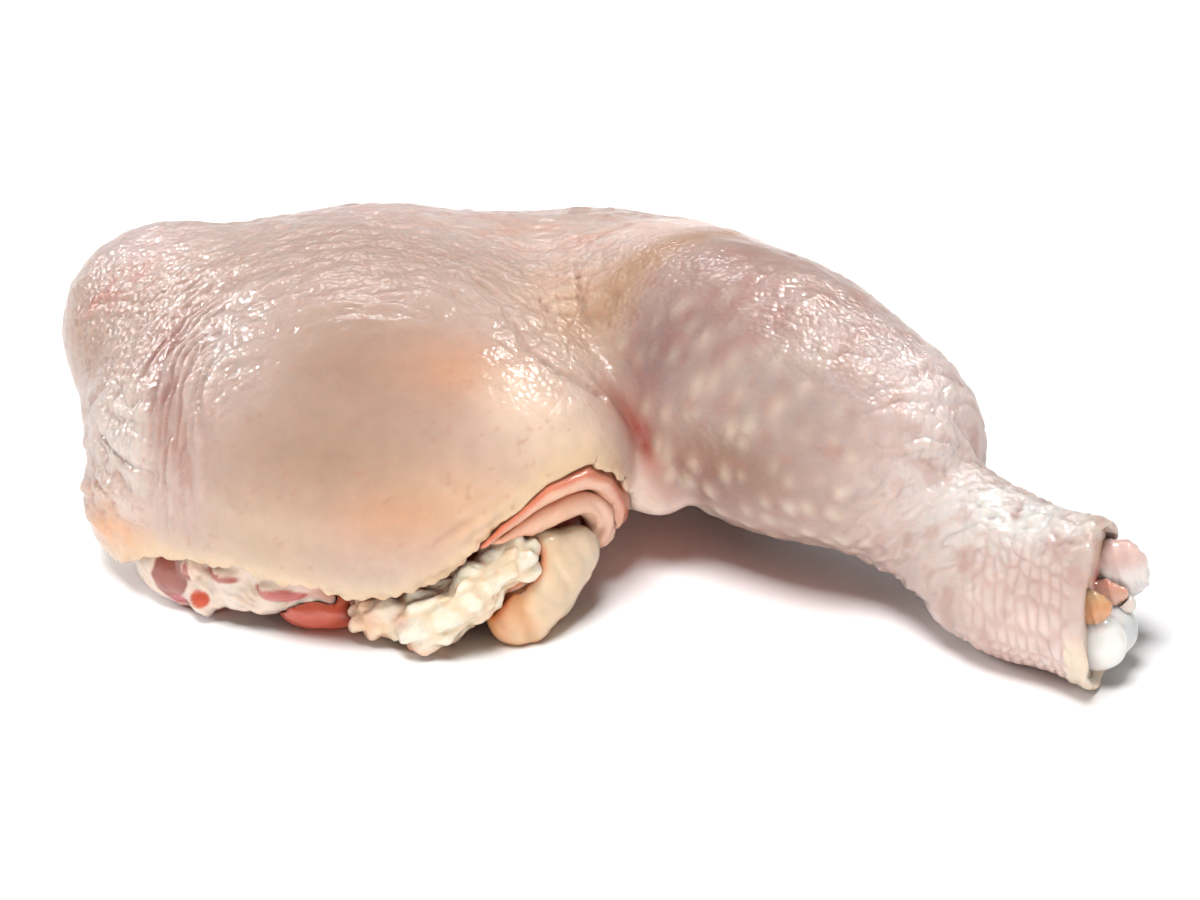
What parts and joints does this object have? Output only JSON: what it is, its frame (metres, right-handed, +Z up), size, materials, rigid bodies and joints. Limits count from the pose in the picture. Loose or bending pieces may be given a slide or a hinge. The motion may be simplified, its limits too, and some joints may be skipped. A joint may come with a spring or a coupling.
{
  "type": "raw chicken leg quarter",
  "caption": "Raw chicken leg quarter with the skin on: thigh and drumstick lying cut side down, with the cut meat, fat and skin folds showing under the near edge and the bone end at the hock.",
  "frame": {"origin": "on the surface the leg lies on, under the middle of the whole piece's bounding box", "axes": "+X runs along the longest side, from the hip towards the sawn hock; +Z is up from the surface; the side with the cut meat and fat faces -Y"},
  "size_m": [0.181, 0.1156, 0.0501],
  "materials": {
    "skin": "raw chicken skin, pale pink to cream, bumpy and wet",
    "meat": "raw dark meat under a thin white membrane, wet",
    "bone": "wet white cartilage over bone",
    "tendon": "wet cream and orange tendon ends",
    "joint_tissue": "wet pink and grey-white joint tissue",
    "red_muscle": "wet red muscle",
    "fat": "knobbly cream fat, soft sheen",
    "fat_flap": "smooth peach-coloured fat, soft sheen",
    "skin_fold": "inner side of the skin, peach, wet"
  },
  "bodies": {
    "root": {"skin": "skin", "meat": "meat", "shin_bone": "bone", "front_tendon": "tendon", "middle_tendon": "tendon", "joint_knob": "bone", "joint_tissue": "joint_tissue", "under_muscle": "red_muscle", "fat_pad": "fat", "fat_flap": "fat_flap", "outer_fold": "skin_fold", "inner_fold": "skin_fold"}
  },
  "joints": []
}
